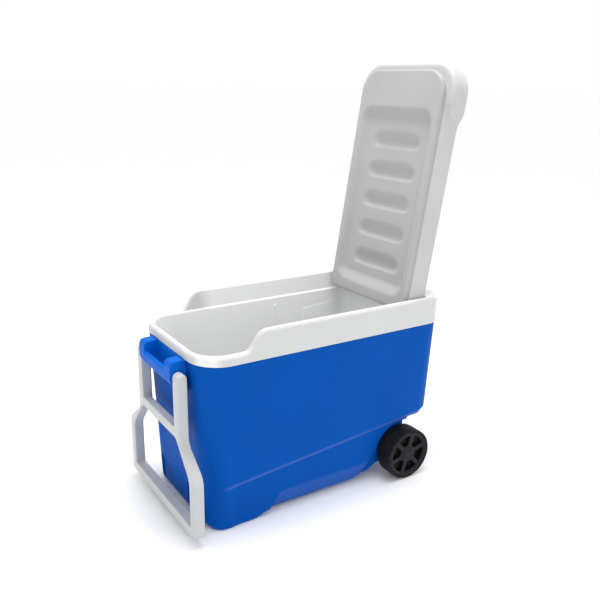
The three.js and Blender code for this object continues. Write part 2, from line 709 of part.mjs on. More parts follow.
// Channels in the back lighten the arms, the sides and the grip.
const CORE_DEPTH = 16;
const CORE_WALL = 5;
const coreAt = (y0, y1, z0, z1) => box(handleBack - CORE_DEPTH, handleBack + 5, y0, y1, z0, z1);
const cores = join([
  coreAt(ARM_SIDE - HANDLE_BAR + CORE_WALL, ARM_SIDE - CORE_WALL, ARM_FOOT + 15, PIVOT_Z - 19.5),
  coreAt(GRIP_SIDE - HANDLE_BAR + CORE_WALL, GRIP_SIDE - CORE_WALL, HANDLE_FOOT + 28, GRIP_TOP - 13),
  coreAt(CORE_WALL, 125, HANDLE_FOOT + CORE_WALL, HANDLE_FOOT + HANDLE_BAR - CORE_WALL),
]);
const crossbarRelief = box(-300, -290, HANDLE_BAR - ARM_SIDE, ARM_SIDE - HANDLE_BAR, 190, 230);
const armBore = barY(PIVOT_X, PIVOT_Z, PIVOT_PIN + GAP, 70, 93);
let towHandle = alongX(frameOutline, HANDLE_FRONT, handleBack, 3).intersect(alongY(armEnd, -200, 200));
towHandle = towHandle.subtract(crossbarRelief).subtract(cores).subtract(flipY(cores));
towHandle = towHandle.subtract(armBore).subtract(flipY(armBore));
place("tow_handle", towHandle, plasticFinish(WHITE, 0.38));

const handlePin = barY(PIVOT_X, PIVOT_Z, PIVOT_PIN, 60.4, 92.6);
place("handle_pin_left", handlePin, steelFinish());
place("handle_pin_right", flipY(handlePin), steelFinish());

// ---------------------------------------------------------------- lid, built closed, then swung open
const HINGE_PIN = 4;
const leftBoss = barY(HINGE_X, HINGE_Z, HINGE_PIN + 4, 116, LID_SIDE - 1);
const hingeBore = barY(HINGE_X, HINGE_Z, HINGE_PIN + GAP, -200, 200);
const mouthSide = PLUG_SIDE + GAP;
const heelMouth = box(HINGE_X - 20, HINGE_X + 8 + GAP, -mouthSide, mouthSide, LID_UNDER - 12, LID_UNDER + 6);
const lidShell = lidForm(0)
  .subtract(lidForm(PLASTIC, 12))
  .add(leftBoss)
  .add(flipY(leftBoss))
  .subtract(hingeBore)
  .subtract(heelMouth);
place("lid_shell", lidShell, plasticFinish(WHITE, 0.38), lid);

const flangeTop = LID_UNDER + 3;
const flange = lidForm(PLASTIC + GAP, 12)
  .intersect(box(-400, HINGE_X - 8, -200, 200, LID_UNDER + GAP, flangeTop));
const aboveFlange = box(-400, 400, -200, 200, flangeTop - 1, LID_TOP);
const fieldCeiling = undersideField(PLASTIC).intersect(aboveFlange);
const panel = plugForm(0, flangeTop)
  .add(flange)
  .subtract(plugForm(PLASTIC, flangeTop + 20))
  .add(fieldCeiling)
  .subtract(undersideField(0));
place("lid_inner_panel", panel, plasticFinish(WHITE, 0.4), lid);

const lidFoam = lidForm(PLASTIC + SLACK, 0)
  .intersect(box(-400, 400, -200, 200, flangeTop + SLACK, 500))
  .add(plugForm(PLASTIC + SLACK, flangeTop + 4))
  .subtract(undersideField(PLASTIC + SLACK))
  .subtract(barY(HINGE_X, HINGE_Z, 8 + SLACK, -200, 200));
place("lid_foam", lidFoam, plasticFinish(FOAM, 0.9), lid);

// A group turned about the hinge line.
lid.position.set(HINGE_X, 0, HINGE_Z);
lid.rotation.y = OPEN_ANGLE;
lid.children.forEach((mesh) => mesh.geometry.translate(-HINGE_X, 0, -HINGE_Z));

const hingePin = barY(HINGE_X, HINGE_Z, HINGE_PIN, 120, 145.2);
place("lid_hinge_pin_left", hingePin, steelFinish());
place("lid_hinge_pin_right", flipY(hingePin), steelFinish());

// ---------------------------------------------------------------- axle and wheels
const AXLE_END = 164;
place("axle", barY(AXLE_X, WHEEL_RADIUS, AXLE_RADIUS, -AXLE_END, AXLE_END), steelFinish());

const RIM_RADIUS = 50.6;
const RIM_INNER = 46;
const HUB_RADIUS = 15;
const WHEEL_BORE = AXLE_RADIUS + GAP;
const SPOKES = 6;
const SPOKE_ANGLE = 75; // the spoke nearest to straight up, seen from the right side
const WEB_IN = WHEEL_OUT - 16;
const WINDOW_FLOOR = WEB_IN + 4; // the windows are blind pockets

// One wheel for the left side (+Y): rim, hub and a web with six window pockets in its face.
function wheelSolid() {
  const profile = [
    [WHEEL_BORE, WHEEL_IN + 1],
    [HUB_RADIUS - 2, WHEEL_IN + 1],
    [HUB_RADIUS - 1, WEB_IN],
    [RIM_INNER, WEB_IN],
    [RIM_INNER, WHEEL_IN],
    [RIM_RADIUS, WHEEL_IN],
    [RIM_RADIUS, WHEEL_OUT - 1.5],
    [RIM_RADIUS - 1.5, WHEEL_OUT - 0.4],
    [RIM_INNER - 1, WHEEL_OUT - 0.4],
    [RIM_INNER - 3, WHEEL_OUT - 5],
    [HUB_RADIUS + 3, WHEEL_OUT - 4],
    [HUB_RADIUS, WHEEL_OUT - 1],
    [9.6, WHEEL_OUT - 1],
    [9.6, WHEEL_OUT - 10],
    [WHEEL_BORE, WHEEL_OUT - 10],
    [WHEEL_BORE, WHEEL_IN + 1],
  ];
  let wheel = turnedY(AXLE_X, WHEEL_RADIUS, profile, 24);
  const depth = WHEEL_OUT + 5 - WINDOW_FLOOR;
  const window = roundedPath([
    [19.8, 5.6, 2],
    [38.6, 16.4, 3],
    [43.4, 6, 8],
    [43.4, -6, 8],
    [38.6, -16.4, 3],
    [19.8, -5.6, 2],
  ]);
  for (let i = 0; i < SPOKES; i++) {
    const turn = THREE.MathUtils.degToRad(SPOKE_ANGLE + 30 + (360 * i) / SPOKES);
    const geometry = new THREE.ExtrudeGeometry(window, { depth, bevelEnabled: false, curveSegments: 3 });
    geometry.rotateZ(turn).rotateX(Math.PI / 2).translate(AXLE_X, WHEEL_OUT + 5, WHEEL_RADIUS);
    wheel = wheel.subtract(solid(geometry));
  }
  return wheel;
}

function tyreSolid() {
  const inner = RIM_RADIUS + GAP;
  const profile = [
    [inner, WHEEL_IN + 0.5],
    [WHEEL_RADIUS - 3, WHEEL_IN + 0.5],
    [WHEEL_RADIUS - 0.8, WHEEL_IN + 3],
    [WHEEL_RADIUS, WHEEL_IN + 8],
    [WHEEL_RADIUS, WHEEL_OUT - 8],
    [WHEEL_RADIUS - 0.8, WHEEL_OUT - 3],
    [WHEEL_RADIUS - 3, WHEEL_OUT],
    [inner, WHEEL_OUT],
    [inner, WHEEL_IN + 0.5],
  ];
  return turnedY(AXLE_X, WHEEL_RADIUS, profile, 36);
}

function ringSolid(inner, outer, y0, y1, sides = 24) {
  const profile = [
    [inner, y0],
    [outer, y0],
    [outer, y1],
    [inner, y1],
    [inner, y0],
  ];
  return turnedY(AXLE_X, WHEEL_RADIUS, profile, sides);
}

// The cap is a shallow cup whose plain face closes the hub over the axle's end.
function hubCapSolid() {
  const profile = [
    [0, WHEEL_OUT - 3],
    [7.2, WHEEL_OUT - 3],
    [7.2, WHEEL_OUT - 6],
    [9.2, WHEEL_OUT - 6],
    [9.2, WHEEL_OUT - 1],
    [7.8, WHEEL_OUT],
    [0, WHEEL_OUT],
  ];
  return turnedY(AXLE_X, WHEEL_RADIUS, profile, 24);
}

const wheelPieces = [
  ["wheel", wheelSolid(), plasticFinish(CHARCOAL, 0.45)],
  ["tyre", tyreSolid(), plasticFinish(CHARCOAL, 0.7)],
  ["hub_cap", hubCapSolid(), plasticFinish(CHARCOAL, 0.4)],
  ["push_nut", ringSolid(AXLE_RADIUS + GAP, 8.6, WHEEL_OUT - 9.6, WHEEL_OUT - 7.6), steelFinish()],
  ["axle_washer", ringSolid(AXLE_RADIUS + GAP, 11, WELL_SIDE + GAP, WHEEL_IN + 1 - GAP), steelFinish()],
];
wheelPieces.forEach(([name, part, material]) => {
  place(name + "_left", part, material);
  place(name + "_right", flipY(part), material);
});

export default cooler;
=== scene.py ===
"""The look of a wheeled cooler: moulded plastic pieces in metres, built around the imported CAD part.

Each visible piece is a smooth solid. Its shape is a signed distance in millimetres, sampled on a grid
that is finer near its edges, and its surface is laid through the zero of that distance.
+Z is up, the tow handle is at -X, the wheels are at +X, and everything mirrors across Y = 0.
"""

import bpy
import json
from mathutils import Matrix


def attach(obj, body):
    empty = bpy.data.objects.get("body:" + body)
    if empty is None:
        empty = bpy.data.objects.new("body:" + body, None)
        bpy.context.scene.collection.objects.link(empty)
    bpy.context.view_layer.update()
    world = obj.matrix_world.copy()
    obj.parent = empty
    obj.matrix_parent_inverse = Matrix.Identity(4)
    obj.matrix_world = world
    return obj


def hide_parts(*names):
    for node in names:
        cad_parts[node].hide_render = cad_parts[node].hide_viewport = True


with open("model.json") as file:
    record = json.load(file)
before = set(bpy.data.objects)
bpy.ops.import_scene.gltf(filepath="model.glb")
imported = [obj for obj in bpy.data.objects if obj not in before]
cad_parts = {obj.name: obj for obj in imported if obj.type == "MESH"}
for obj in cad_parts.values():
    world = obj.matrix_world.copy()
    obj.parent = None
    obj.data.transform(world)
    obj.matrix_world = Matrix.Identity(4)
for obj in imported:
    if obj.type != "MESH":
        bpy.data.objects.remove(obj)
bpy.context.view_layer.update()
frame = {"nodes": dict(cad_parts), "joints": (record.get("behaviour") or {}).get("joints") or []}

import json
import math

import bpy
import numpy as np
from mathutils import Matrix, Vector

MM = 0.001
JOINTS = {joint["name"]: joint for joint in frame["joints"]}
HINGE_X, _, HINGE_Z = [1000 * v for v in JOINTS["lid_hinge"]["pos_m"]]
PIVOT_X, _, PIVOT_Z = [1000 * v for v in JOINTS["handle_pivot"]["pos_m"]]
AXLE_X, _, AXLE_Z = [1000 * v for v in JOINTS["wheel_left_spin"]["pos_m"]]
OPEN_ANGLE = -math.radians(JOINTS["lid_hinge"]["range_deg"][0])


# ---------------------------------------------------------------- distances, in millimetres
def both(a, b, radius=0.0):
    """Where two solids overlap, with the edge between them rounded."""
    if radius <= 0:
        return np.maximum(a, b)
    over = np.hypot(np.maximum(a + radius, 0), np.maximum(b + radius, 0))
    return np.minimum(-radius, np.maximum(a, b)) + over


def either(a, b, radius=0.0):
    """Two solids joined, with a fillet of that radius between them."""
    return -both(-a, -b, radius)


def cut(a, b, radius=0.0):
    """Solid a without solid b, with the new edge rounded."""
    return both(a, -b, radius)


def rounded_rect(x, y, front, rear, side, front_radius, rear_radius):
    """A rounded rectangle in plan, from x = front to x = rear and out to y = side both ways."""
    middle = (front + rear) / 2
    radius = np.where(x < middle, front_radius, rear_radius)
    dx = np.abs(x - middle) - (rear - front) / 2 + radius
    dy = np.abs(y) - side + radius
    outside = np.hypot(np.maximum(dx, 0), np.maximum(dy, 0))
    return outside + np.minimum(np.maximum(dx, dy), 0) - radius


def polygon(u, v, points):
    """Signed distance in a plane to a closed outline of points."""
    u, v = np.broadcast_arrays(u, v)
    nearest = np.full(u.shape, np.inf, np.float32)
    inside = np.zeros(u.shape, bool)
    for (ax, ay), (bx, by) in zip(points, points[1:] + points[:1]):
        ex, ey = bx - ax, by - ay
        along = np.clip(((u - ax) * ex + (v - ay) * ey) / max(ex * ex + ey * ey, 1e-12), 0, 1)
        nearest = np.minimum(nearest, np.hypot(u - ax - along * ex, v - ay - along * ey))
        if ay != by:
            inside ^= ((ay > v) != (by > v)) & (u < ex * (v - ay) / ey + ax)
    return np.where(inside, -nearest, nearest)


def softened(corners, steps=7):
    """Outline points for corners (a, b, radius), each rounded by a quadratic curve."""
    points = []
    count = len(corners)
    for i, (a, b, radius) in enumerate(corners):
        here = np.array([a, b], float)
        before = np.array(corners[i - 1][:2], float) - here
        after = np.array(corners[(i + 1) % count][:2], float) - here
        reach = min(radius, 0.48 * np.hypot(*before), 0.48 * np.hypot(*after))
        if reach <= 0:
            points.append((a, b))
            continue
        entry = here + before / np.hypot(*before) * reach
        leave = here + after / np.hypot(*after) * reach
        for t in np.linspace(0, 1, steps):
            point = (1 - t) ** 2 * entry + 2 * t * (1 - t) * here + t * t * leave
            points.append(tuple(point))
    return points


def bezier(p0, p1, p2, p3, steps=16):
    """Points along a cubic curve."""
    ends = [np.array(p, float) for p in (p0, p1, p2, p3)]
    t = np.linspace(0, 1, steps)[:, None]
    weights = ((1 - t) ** 3, 3 * t * (1 - t) ** 2, 3 * t * t * (1 - t), t**3)
    return [tuple(p) for p in sum(w * e for w, e in zip(weights, ends))]


def ramp(value, start, end):
    """0 before start, 1 after end, and smooth between."""
    t = np.clip((value - start) / (end - start), 0, 1)
    return t * t * (3 - 2 * t)


# ---------------------------------------------------------------- surface through the zero distance
CELL = np.array([(i & 1, i >> 1 & 1, i >> 2) for i in range(8)])
CELL_EDGES = [(a, b) for a in range(8) for b in range(a + 1, 8) if np.abs(CELL[a] - CELL[b]).sum() == 1]


def spaced(*stretches):
    """Grid lines for one axis from stretches (start, end, step)."""
    lines = [np.linspace(a, b, max(2, round((b - a) / step) + 1)) for a, b, step in stretches]
    return np.unique(np.round(np.concatenate(lines), 4)).astype(np.float32)


def mirrored(*stretches):
    """The same on both sides of zero."""
    lines = spaced(*stretches)
    return np.unique(np.concatenate([-lines, lines]))


def trilinear(values, at):
    """The value inside each cell and its gradient, per cell width."""
    shares = [np.where(CELL[:, k], at[:, None, k], 1 - at[:, None, k]) for k in range(3)]
    signs = np.where(CELL, 1.0, -1.0)
    value = (values * shares[0] * shares[1] * shares[2]).sum(1)
    slope = [
        (values * signs[:, k] * shares[(k + 1) % 3] * shares[(k + 2) % 3]).sum(1) for k in range(3)
    ]
    return value, np.stack(slope, 1)


def surface(distance, axes):
    """Points and quads of the surface where the distance is zero, facing out."""
    inside = distance < 0
    sizes = [n - 1 for n in distance.shape]
    count = np.zeros(sizes, np.int8)
    for offset in CELL:
        window = tuple(slice(o, o + n) for o, n in zip(offset, sizes))
        count += inside[window]
    active = (count > 0) & (count < 8)
    cells = np.argwhere(active)
    number = np.full(sizes, -1, np.int32)
    number[active] = np.arange(len(cells))
    values = np.stack([distance[tuple((cells + offset).T)] for offset in CELL], 1).astype(float)
    total = np.zeros((len(cells), 3))
    hits = np.zeros(len(cells))
    for a, b in CELL_EDGES:
        crossed = (values[:, a] < 0) != (values[:, b] < 0)
        step = np.where(crossed, values[:, b] - values[:, a], 1)
        share = np.where(crossed, -values[:, a] / step, 0)
        point = CELL[a] + share[:, None] * (CELL[b] - CELL[a])
        total += np.where(crossed[:, None], point, 0)
        hits += crossed
    at = total / hits[:, None]
    widths = np.stack([np.diff(axis)[cells[:, k]] for k, axis in enumerate(axes)], 1)
    for _ in range(2):
        value, slope = trilinear(values, at)
        slope = slope / widths**2
        reach = (slope * slope * widths**2).sum(1)
        at = np.clip(at - slope * (value / np.maximum(reach, 1e-9))[:, None], 0, 1)
    low = np.stack([axis[cells[:, k]] for k, axis in enumerate(axes)], 1)
    points = low + at * widths
    quads = []
    for k in range(3):
        u, v = (k + 1) % 3, (k + 2) % 3
        before = [slice(None)] * 3
        after = [slice(None)] * 3
        before[k], after[k] = slice(0, -1), slice(1, None)
        crossing = inside[tuple(before)] != inside[tuple(after)]
        lines = np.argwhere(crossing)
        fits = (lines[:, u] > 0) & (lines[:, v] > 0)
        fits &= (lines[:, u] < sizes[u]) & (lines[:, v] < sizes[v])
        lines = lines[fits]
        step_u, step_v = np.eye(3, dtype=int)[u], np.eye(3, dtype=int)[v]
        ring = [lines - step_u - step_v, lines - step_v, lines, lines - step_u]
        quad = np.stack([number[tuple(c.T)] for c in ring], 1)
        outward = inside[tuple(lines.T)]
        quads.append(np.where(outward[:, None], quad, quad[:, ::-1]))
    return points, np.concatenate(quads)


def add_piece(name, body, nodes, slot, material, points, quads):
    """Makes a mesh piece that rides on a body and stands for CAD nodes."""
    mesh = bpy.data.meshes.new(name)
    mesh.vertices.add(len(points))
    mesh.vertices.foreach_set("co", (np.asarray(points) * MM).astype(np.float32).ravel())
    mesh.loops.add(4 * len(quads))
    mesh.loops.foreach_set("vertex_index", np.asarray(quads, np.int32).ravel())
    mesh.polygons.add(len(quads))
    mesh.polygons.foreach_set("loop_start", np.arange(0, 4 * len(quads), 4, dtype=np.int32))
    mesh.polygons.foreach_set("use_smooth", np.ones(len(quads), bool))
    mesh.update(calc_edges=True)
    mesh.materials.append(material)
    piece = bpy.data.objects.new(name, mesh)
    bpy.context.scene.collection.objects.link(piece)
    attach(piece, body)
    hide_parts(*nodes)
    return piece


def grid(axes):
    return [axis.reshape([-1 if i == k else 1 for i in range(3)]) for k, axis in enumerate(axes)]


# ---------------------------------------------------------------- materials
def node_material(name):
    material = bpy.data.materials.new(name)
    material.use_nodes = True
    tree = material.node_tree
    shader = tree.nodes["Principled BSDF"]
    return material, tree, shader


def noise(tree, scale, detail=3.0, roughness=0.5, stretch=(1, 1, 1)):
    """A noise texture in the piece's own space, in metres."""
    place = tree.nodes.new("ShaderNodeTexCoord")
    mapping = tree.nodes.new("ShaderNodeMapping")
    mapping.inputs["Scale"].default_value = stretch
    texture = tree.nodes.new("ShaderNodeTexNoise")
    texture.inputs["Scale"].default_value = scale
    texture.inputs["Detail"].default_value = detail
    texture.inputs["Roughness"].default_value = roughness
    tree.links.new(place.outputs["Object"], mapping.inputs["Vector"])
    tree.links.new(mapping.outputs["Vector"], texture.inputs["Vector"])
    return texture.outputs["Fac"]


def remap(tree, value, low, high, out_low, out_high):
    node = tree.nodes.new("ShaderNodeMapRange")
    node.inputs["From Min"].default_value = low
    node.inputs["From Max"].default_value = high
    node.inputs["To Min"].default_value = out_low
    node.inputs["To Max"].default_value = out_high
    tree.links.new(value, node.inputs["Value"])
    return node.outputs["Result"]


def mixed(tree, factor, first, second):
    """A colour between two, each a socket or a colour."""
    node = tree.nodes.new("ShaderNodeMix")
    node.data_type = "RGBA"
    tree.links.new(factor, node.inputs["Factor"])
    for socket, colour in ((node.inputs["A"], first), (node.inputs["B"], second)):
        if isinstance(colour, tuple):
            socket.default_value = (*colour, 1)
        else:
            tree.links.new(colour, socket)
    return node.outputs["Result"]


def combined(tree, operation, first, second):
    """A Math node on two sockets."""
    node = tree.nodes.new("ShaderNodeMath")
    node.operation = operation
    tree.links.new(first, node.inputs[0])
    tree.links.new(second, node.inputs[1])
    return node.outputs["Value"]


def plus(tree, first, second, weight):
    node = tree.nodes.new("ShaderNodeMath")
    node.operation = "MULTIPLY_ADD"
    node.inputs[1].default_value = weight
    tree.links.new(second, node.inputs[0])
    tree.links.new(first, node.inputs[2])
    return node.outputs["Value"]


def worn_edges(tree, amount):
    """How far an edge stands out, broken up by noise."""
    geometry = tree.nodes.new("ShaderNodeNewGeometry")
    edges = remap(tree, geometry.outputs["Pointiness"], 0.53, 0.62, 0, amount)
    broken = remap(tree, noise(tree, 140, 4, 0.65), 0.42, 0.66, 0, 1)
    return combined(tree, "MULTIPLY", edges, broken)


def floor_reflection_mask(tree, amount):
    """How far a face of the piece looks down, which is where a painted reflection of the white floor goes."""
    geometry = tree.nodes.new("ShaderNodeNewGeometry")
    parts = tree.nodes.new("ShaderNodeSeparateXYZ")
    tree.links.new(geometry.outputs["Normal"], parts.inputs["Vector"])
    return remap(tree, parts.outputs["Z"], -0.08, -0.45, 0, amount)


# nearly black painted as shade at the bottoms of the wheel's blind windows
PAINTED_SHADE_BLACK = (0.0015, 0.0015, 0.0018)


def own_place(tree):
    """Sockets X, Y and Z of the piece's own space, in metres, with Y counted from the middle plane."""
    place = tree.nodes.new("ShaderNodeTexCoord")
    parts = tree.nodes.new("ShaderNodeSeparateXYZ")
    tree.links.new(place.outputs["Object"], parts.inputs["Vector"])
    size = tree.nodes.new("ShaderNodeMath")
    size.operation = "ABSOLUTE"
    tree.links.new(parts.outputs["Y"], size.inputs[0])
    return parts.outputs["X"], size.outputs["Value"], parts.outputs["Z"]


def painted_tub_light(tree):
    """Mask for a brighter white painted as light from above: 1 on the faces inside the tub and the lid's bay,
    0 on the collar's outside.
    """
    along, across, height = own_place(tree)
    deep = remap(tree, height, 0.360, 0.368, 1, 0)
    behind_scoop = remap(tree, along, -0.16, -0.13, 0, 1)
    side_bound = remap(tree, across, 0.1420, 0.1480, 1, 0)
    front_bound = remap(tree, along, -0.2870, -0.2820, 0, 1)
    level = combined(tree, "MAXIMUM", deep, behind_scoop)
    bounds = combined(tree, "MULTIPLY", side_bound, front_bound)
    return combined(tree, "MULTIPLY", level, bounds)


def moulded_plastic(
    name, colour, deep, worn, rough, grain, grain_scale=2600, sheen=0.5, floor_reflection_colour=None, shade_band=None, inside=None
):
    """Moulded plastic: colour drift, fine grain, dull patches, rubbed edges and long faint scuffs.

    The colour for faces that look down is a painted reflection of the white floor, the colour for within
    the tub is a brighter white painted as light falling in from above, and the pair of distances from the
    middle plane marks where the bottom of a recess is painted nearly black as shade.
    """
    material, tree, shader = node_material(name)
    drift = remap(tree, noise(tree, 7, 3), 0.3, 0.7, 0, 1)
    colour_out = mixed(tree, drift, deep, colour)
    scuffs = remap(tree, noise(tree, 60, 5, 0.7, (0.25, 1, 3)), 0.6, 0.8, 0, 0.18)
    colour_out = mixed(tree, scuffs, colour_out, worn)
    colour_out = mixed(tree, worn_edges(tree, 0.55), colour_out, worn)
    # painted reflection of the white floor on faces that look down
    if floor_reflection_colour:
        colour_out = mixed(tree, floor_reflection_mask(tree, 0.55), colour_out, floor_reflection_colour)
    # painted shade: nearly black inboard of the given pair of distances from the middle plane
    if shade_band:
        outward = remap(tree, own_place(tree)[1], *shade_band, 0, 1)
        colour_out = mixed(tree, outward, PAINTED_SHADE_BLACK, colour_out)
    # a brighter white painted within the tub and the lid's bay as light falling in from above
    if inside:
        colour_out = mixed(tree, painted_tub_light(tree), colour_out, inside)
    tree.links.new(colour_out, shader.inputs["Base Color"])
    dull = remap(tree, noise(tree, 22, 4, 0.6), 0.3, 0.7, rough - 0.05, rough + 0.07)
    rubbed = plus(tree, dull, scuffs, 0.8)
    tree.links.new(rubbed, shader.inputs["Roughness"])
    shader.inputs["Specular IOR Level"].default_value = sheen
    fine = noise(tree, grain_scale, 2, 0.5)
    waves = noise(tree, 35, 2, 0.5)
    height = plus(tree, fine, waves, 1.6)
    bump = tree.nodes.new("ShaderNodeBump")
    bump.inputs["Strength"].default_value = grain
    bump.inputs["Distance"].default_value = 0.0004
    tree.links.new(height, bump.inputs["Height"])
    tree.links.new(bump.outputs["Normal"], shader.inputs["Normal"])
    return material


def tread_plastic(name):
    """Hard charcoal tread with a coarse mottled face."""
    material, tree, shader = node_material(name)
    mottle = remap(tree, noise(tree, 260, 4, 0.65), 0.42, 0.62, 0, 1)
    dust = remap(tree, noise(tree, 30, 4, 0.6), 0.5, 0.8, 0, 0.3)
    colour = mixed(tree, mottle, (0.003, 0.003, 0.004), (0.020, 0.020, 0.022))
    colour = mixed(tree, dust, colour, (0.048, 0.047, 0.046))
    tree.links.new(colour, shader.inputs["Base Color"])
    tree.links.new(remap(tree, mottle, 0, 1, 0.66, 0.48), shader.inputs["Roughness"])
    shader.inputs["Specular IOR Level"].default_value = 0.14
    bump = tree.nodes.new("ShaderNodeBump")
    bump.inputs["Strength"].default_value = 0.9
    bump.inputs["Distance"].default_value = 0.0016
    tree.links.new(mottle, bump.inputs["Height"])
    tree.links.new(bump.outputs["Normal"], shader.inputs["Normal"])
    return material


def drawn_steel(name):
    """Bright steel rod and washers with fine drawing lines and a little tarnish."""
    material, tree, shader = node_material(name)
    lines = noise(tree, 900, 3, 0.6, (1, 0.05, 1))
    tarnish = remap(tree, noise(tree, 45, 4), 0.4, 0.75, 0, 1)
    tree.links.new(mixed(tree, tarnish, (0.56, 0.57, 0.58), (0.36, 0.34, 0.31)), shader.inputs["Base Color"])
    tree.links.new(remap(tree, lines, 0.3, 0.7, 0.24, 0.42), shader.inputs["Roughness"])
    shader.inputs["Metallic"].default_value = 1.0
    bump = tree.nodes.new("ShaderNodeBump")
    bump.inputs["Strength"].default_value = 0.2
    bump.inputs["Distance"].default_value = 0.0002
    tree.links.new(lines, bump.inputs["Height"])
    tree.links.new(bump.outputs["Normal"], shader.inputs["Normal"])
    return material


def foamed_plastic(name):
    """Cream insulating foam with open cells."""
    material, tree, shader = node_material(name)
    cells = tree.nodes.new("ShaderNodeTexVoronoi")
    cells.inputs["Scale"].default_value = 700
    place = tree.nodes.new("ShaderNodeTexCoord")
    tree.links.new(place.outputs["Object"], cells.inputs["Vector"])
    shade = remap(tree, cells.outputs["Distance"], 0, 0.7, 0, 1)
    tree.links.new(mixed(tree, shade, (0.82, 0.72, 0.42), (0.60, 0.47, 0.22)), shader.inputs["Base Color"])
    tree.links.new(remap(tree, noise(tree, 40), 0.3, 0.7, 0.82, 0.95), shader.inputs["Roughness"])
    bump = tree.nodes.new("ShaderNodeBump")
    bump.inputs["Strength"].default_value = 0.5
    bump.inputs["Distance"].default_value = 0.0008
    tree.links.new(cells.outputs["Distance"], bump.inputs["Height"])
    tree.links.new(bump.outputs["Normal"], shader.inputs["Normal"])
    return material


BODY_BLUE = moulded_plastic(
    "body_blue", (0.000, 0.078, 0.395), (0.000, 0.070, 0.360), (0.01, 0.13, 0.50), 0.42, 0.14, sheen=0.04,
    # the lilac colour for faces that look down is a painted reflection of the white floor
    floor_reflection_colour=(0.07, 0.15, 0.46),
)
BRACKET_BLUE = moulded_plastic(
    "bracket_blue", (0.001, 0.118, 0.560), (0.000, 0.104, 0.510), (0.03, 0.17, 0.58), 0.38, 0.10, sheen=0.05,
    # the colour for faces that look down is a painted reflection of the white floor
    floor_reflection_colour=(0.02, 0.12, 0.50),
)
LINER_WHITE = moulded_plastic(
    "liner_white", (0.580, 0.587, 0.585), (0.556, 0.562, 0.558), (0.50, 0.50, 0.49), 0.36, 0.10, sheen=0.22,
    # the brighter white within the tub is painted light from above on the same plastic
    inside=(0.775, 0.782, 0.780),
)
HANDLE_WHITE = moulded_plastic(
    "handle_white", (0.520, 0.527, 0.532), (0.490, 0.496, 0.498), (0.44, 0.44, 0.435), 0.38, 0.12, sheen=0.3
)
LID_WHITE = moulded_plastic(
    "lid_white", (0.500, 0.507, 0.500), (0.472, 0.477, 0.468), (0.43, 0.425, 0.415), 0.38, 0.10, sheen=0.25
)
# a darker copy of the lid's white, painting the deeper shade on the lid's underside
LID_WHITE_PAINTED_SHADE = moulded_plastic(
    "lid_white_painted_shade", (0.410, 0.416, 0.409), (0.384, 0.388, 0.380), (0.35, 0.348, 0.34), 0.38, 0.10, sheen=0.22
)
WHEEL_CHARCOAL = moulded_plastic(
    "wheel_charcoal", (0.018, 0.019, 0.022), (0.009, 0.010, 0.012), (0.05, 0.05, 0.05), 0.42, 0.30,
    grain_scale=1500, sheen=0.12,
    # everything inboard of these distances, the floors of the blind windows included, is painted nearly black
    # as shade
    shade_band=(0.1590, 0.1635),
)
TREAD_CHARCOAL = tread_plastic("tread_charcoal")
STEEL = drawn_steel("drawn_steel")
FOAM = foamed_plastic("insulating_foam")

# ---------------------------------------------------------------- blue body
SEAM_Z = 346.7
BODY_END = (273.4, 287.4)  # half length at the floor and at the seam
BODY_SIDE = (139.0, 148.0)
BELLY_Z = 8.5
FRONT_ROLL = 25.0
REAR_WALL_X = 213.0
OVERHANG_Z = 129.3
WELL_SIDE = 122.5
WHEEL_RADIUS = 56.8
SHOULDER_STEP = 7.0  # the wall steps in this far below the slanted shoulder
SHOULDER_DROP = 10.0
FAR = 700.0


def body_end(z):
    return BODY_END[0] + (BODY_END[1] - BODY_END[0]) * z / SEAM_Z


def body_side(z):
    return BODY_SIDE[0] + (BODY_SIDE[1] - BODY_SIDE[0]) * z / SEAM_Z


LINER_WALL = 3.4
FOAM_SPACE = 4.4  # the body keeps this far from the tub's inner face, so it stays behind the liner


def tub_space(x, y, z):
    """The space inside the tub: a deep part, and a shelf above the wheels."""
    drop = 365 - z
    front = -279 + 20 * drop / 337
    side = 133 - 9 * drop / 337
    deep_rear = 100 - 10 * (148 - z) / 120
    shelf_rear = 235 - 4 * drop / 217
    deep = rounded_rect(x, y, front, deep_rear, side, 52, 28)
    deep = both(deep, 28 - z, 14)
    shelf = rounded_rect(x, y, front, shelf_rear, side, 52, 28)
    shelf = both(shelf, 148 - z, 12)
    deep = both(deep, z - 208)
    return either(deep, shelf)


def arc_points(x, z, radius, start, end, steps):
    """Points (x, z) of an arc, with angles in degrees."""
    turns = np.radians(np.linspace(start, end, steps))
    return [(x + radius * math.cos(a), z + radius * math.sin(a)) for a in turns]


def underside_outline():
    """The side view that the underside, the front foot and the rear overhang leave of the body."""
    face = -body_end(FRONT_ROLL)
    tail = body_end(OVERHANG_Z)
    roll = arc_points(face + FRONT_ROLL, FRONT_ROLL, FRONT_ROLL, 180, 270, 12)
    corners = [(-FAR, FAR, 0), (-FAR, FRONT_ROLL, 0)]
    corners += [(px, pz, 0) for px, pz in roll]
    corners += [(-170, 0, 3), (-147, BELLY_Z, 3), (77, BELLY_Z, 3), (90, 15, 3), (116, 17, 14), (140, 31, 14)]
    corners += [(REAR_WALL_X, 31, 8), (REAR_WALL_X, OVERHANG_Z, 6), (tail, OVERHANG_Z, 16)]
    corners += [(tail + 20, FAR, 0)]
    return softened(corners, 6)


